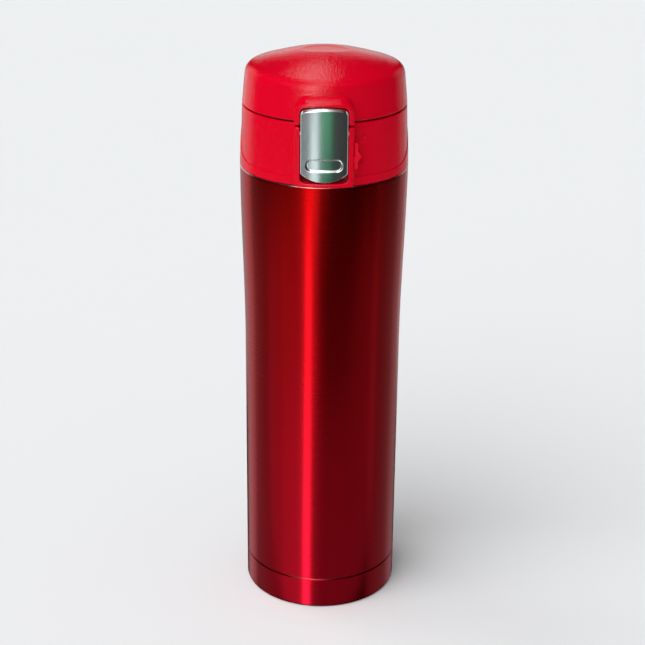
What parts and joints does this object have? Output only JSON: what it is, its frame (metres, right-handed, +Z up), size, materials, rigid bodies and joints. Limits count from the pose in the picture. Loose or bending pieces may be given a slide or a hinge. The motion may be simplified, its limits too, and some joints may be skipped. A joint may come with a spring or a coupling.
{
  "type": "vacuum flask",
  "caption": "Slim double-walled steel vacuum flask with a screw-on drinking cap, flip-up lid, front push button and sliding lock.",
  "frame": {"origin": "centre of the flat base", "axes": "+Z up along the flask, -Y towards the lid button, +X to the right seen from the button side"},
  "size_m": [0.07, 0.0783, 0.243],
  "materials": {
    "lacquered_steel": "transparent red lacquer over brushed steel, satin gloss",
    "plain_steel": "fine brushed stainless steel",
    "copper": "thin polished copper foil",
    "glass_bead": "solder glass bead",
    "getter_metal": "sintered grey",
    "red_plastic": "red moulded plastic with a fine spark texture",
    "clear_white_plastic": "food-safe white plastic, gloss",
    "silicone": "soft white silicone",
    "spring_steel": "bare spring wire",
    "dark_plastic": "dark grey moulded plastic",
    "satin_chrome": "satin chrome with polished edges"
  },
  "bodies": {
    "vessel": {"outer_shell": "lacquered_steel", "inner_vessel": "plain_steel", "copper_foil": "copper", "vacuum_bottom": "plain_steel", "vacuum_seal": "glass_bead", "getter": "getter_metal", "base_cup": "lacquered_steel"},
    "gasket": {"mouth_gasket": "silicone"},
    "cap": {"cap_body": "red_plastic", "cap_skirt": "red_plastic", "drinking_spout": "clear_white_plastic", "spout_gasket": "silicone", "lock_housing": "red_plastic", "hinge_pin": "spring_steel", "lid_spring": "spring_steel", "button_pin": "spring_steel", "button_spring": "spring_steel"},
    "lid": {"lid_shell": "red_plastic", "lid_liner": "clear_white_plastic", "lid_seal": "silicone", "seal_retainer": "clear_white_plastic", "vent_plug": "silicone"},
    "button": {"button_lever": "dark_plastic", "button_plate": "satin_chrome"},
    "slider": {"lock_slider": "red_plastic"}
  },
  "joints": [
    {"name": "cap_lift", "type": "slide", "parent": "vessel", "child": "gasket", "axis": [0, 0, 1], "range_m": [0, 0.0061]},
    {"name": "cap_turn", "type": "hinge", "parent": "gasket", "child": "cap", "pos_m": [0, 0, 0.195], "axis": [0, 0, 1], "range_deg": [0, 540]},
    {"name": "lid_hinge", "type": "hinge", "parent": "cap", "child": "lid", "pos_m": [0, 0.0373, 0.2215], "axis": [-1, 0, 0], "range_deg": [0, 115], "deforming": ["lid_spring"]},
    {"name": "button_press", "type": "hinge", "parent": "cap", "child": "button", "pos_m": [0, -0.0352, 0.217], "axis": [1, 0, 0], "range_deg": [0, 8], "stiffness_Nm_per_rad": 0.2, "springref_deg": -5.73, "deforming": ["button_spring"]},
    {"name": "lock_slide", "type": "slide", "parent": "cap", "child": "slider", "axis": [0, 0, 1], "range_m": [0, 0.004]}
  ],
  "couplings": [
    {"joint": "cap_lift", "follows": "cap_turn", "m_per_rad": 0.00063662}
  ]
}
